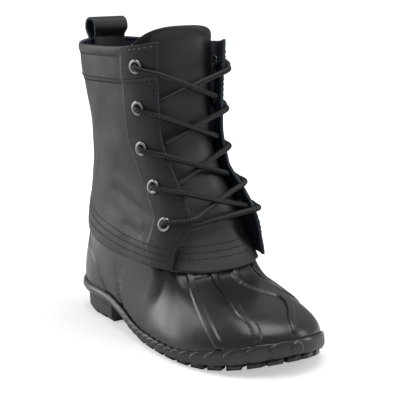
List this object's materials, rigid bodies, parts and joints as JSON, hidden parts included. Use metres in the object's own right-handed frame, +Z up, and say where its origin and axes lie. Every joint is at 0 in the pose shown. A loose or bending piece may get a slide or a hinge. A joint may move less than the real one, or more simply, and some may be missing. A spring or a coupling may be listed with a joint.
{
  "type": "lace-up boot",
  "caption": "Child's ankle boot with a moulded rubber foot, a laced leather shaft, a tongue, metal eyelets and a pull loop at the back.",
  "frame": {"origin": "on the floor under the middle of the boot's bounding box", "axes": "+Z up; the toe points to -Y and the heel to +Y; the outer side of the foot is -X"},
  "size_m": [0.0836, 0.197, 0.1793],
  "materials": {
    "sole_rubber": "moulded rubber with a soft sheen",
    "heel_rubber": "matte grey rubber",
    "foot_rubber": "smooth moulded rubber, half gloss",
    "upper_leather": "smooth charcoal leather, soft sheen",
    "tongue_leather": "smooth charcoal leather, softer",
    "lining": "matte textile",
    "eyelet_metal": "satin metal",
    "lace_braid": "round braid, matte"
  },
  "bodies": {
    "root": {"outsole": "sole_rubber", "heel_block": "heel_rubber", "insole": "lining", "rubber_foot": "foot_rubber", "leather_shaft": "upper_leather", "tongue": "tongue_leather", "pull_loop": "upper_leather", "eyelet_outer_1": "eyelet_metal", "eyelet_outer_2": "eyelet_metal", "eyelet_outer_3": "eyelet_metal", "eyelet_outer_4": "eyelet_metal", "eyelet_outer_5": "eyelet_metal", "eyelet_inner_1": "eyelet_metal", "eyelet_inner_2": "eyelet_metal", "eyelet_inner_3": "eyelet_metal", "eyelet_inner_4": "eyelet_metal", "eyelet_inner_5": "eyelet_metal", "lace_crossing_1": "lace_braid", "lace_crossing_2": "lace_braid", "lace_crossing_3": "lace_braid", "lace_crossing_4": "lace_braid", "lace_bar": "lace_braid"}
  },
  "joints": []
}
